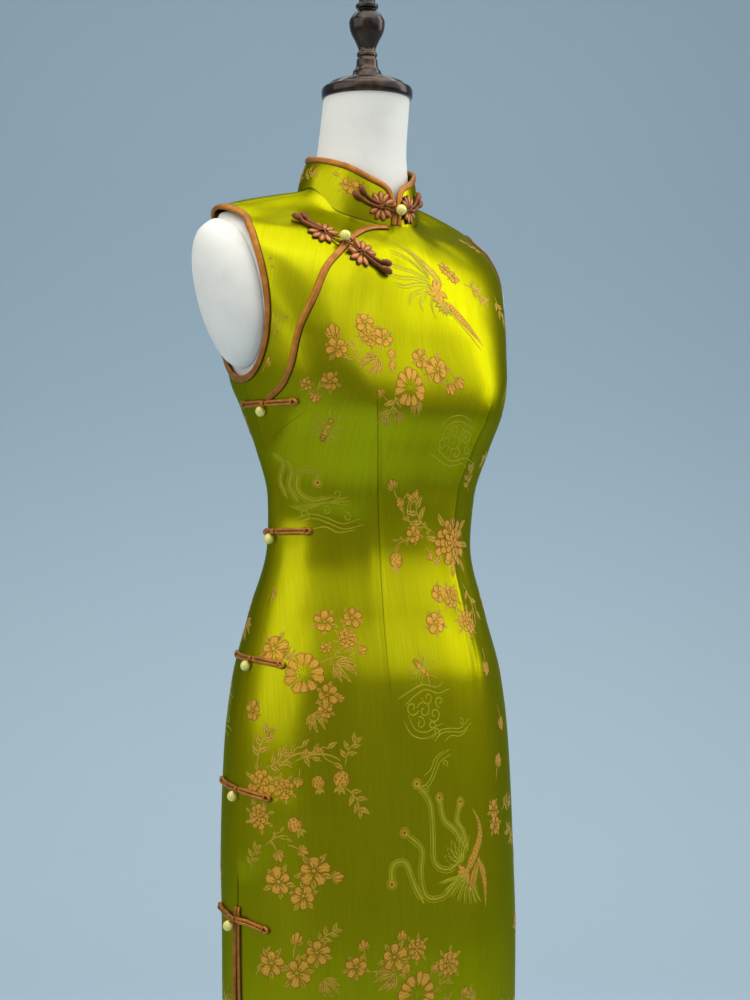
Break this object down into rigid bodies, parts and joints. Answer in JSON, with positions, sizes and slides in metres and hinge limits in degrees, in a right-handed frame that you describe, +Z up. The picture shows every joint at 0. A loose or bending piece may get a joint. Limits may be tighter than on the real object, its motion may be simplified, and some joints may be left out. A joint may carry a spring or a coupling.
{
  "type": "cheongsam dress on a dress form",
  "caption": "Sleeveless cheongsam with stand collar, slanted side opening, flower frogs and side slits, worn by a limbless dress form on a round stand.",
  "frame": {"origin": "middle of the underside of the stand's base, on the floor", "axes": "+Z up, the front of the dress faces -Y, the wearer's left is +X"},
  "size_m": [0.3928, 0.38, 1.6656],
  "materials": {
    "satin": "glossy silk brocade",
    "bronze_satin": "satin bias strip",
    "pale_bead": "polished",
    "form_cover": "matt",
    "dark_bronze": "semi gloss"
  },
  "bodies": {
    "root": {"back_panel": "satin", "bead_chest": "pale_bead", "bead_collar": "pale_bead", "bead_side_1": "pale_bead", "bead_side_2": "pale_bead", "bead_side_3": "pale_bead", "bead_side_4": "pale_bead", "bead_side_5": "pale_bead", "binding_armhole_left": "bronze_satin", "binding_armhole_right": "bronze_satin", "binding_collar": "bronze_satin", "binding_opening": "bronze_satin", "binding_skirt_back": "bronze_satin", "binding_skirt_front": "bronze_satin", "collar": "satin", "form_base": "dark_bronze", "form_finial": "dark_bronze", "form_neck_cap": "dark_bronze", "form_plate_left": "form_cover", "form_plate_right": "form_cover", "form_pole": "dark_bronze", "form_torso": "form_cover", "frog_chest_lower_flower": "bronze_satin", "frog_chest_lower_stems": "bronze_satin", "frog_chest_upper_flower": "bronze_satin", "frog_chest_upper_stems": "bronze_satin", "frog_collar_left_flower": "bronze_satin", "frog_collar_left_stems": "bronze_satin", "frog_collar_right_flower": "bronze_satin", "frog_collar_right_stems": "bronze_satin", "frog_side_1_back": "bronze_satin", "frog_side_1_front": "bronze_satin", "frog_side_2_back": "bronze_satin", "frog_side_2_front": "bronze_satin", "frog_side_3_back": "bronze_satin", "frog_side_3_front": "bronze_satin", "frog_side_4_back": "bronze_satin", "frog_side_4_front": "bronze_satin", "frog_side_5_back": "bronze_satin", "frog_side_5_front": "bronze_satin", "front_flap": "satin", "front_panel": "satin"}
  },
  "joints": []
}
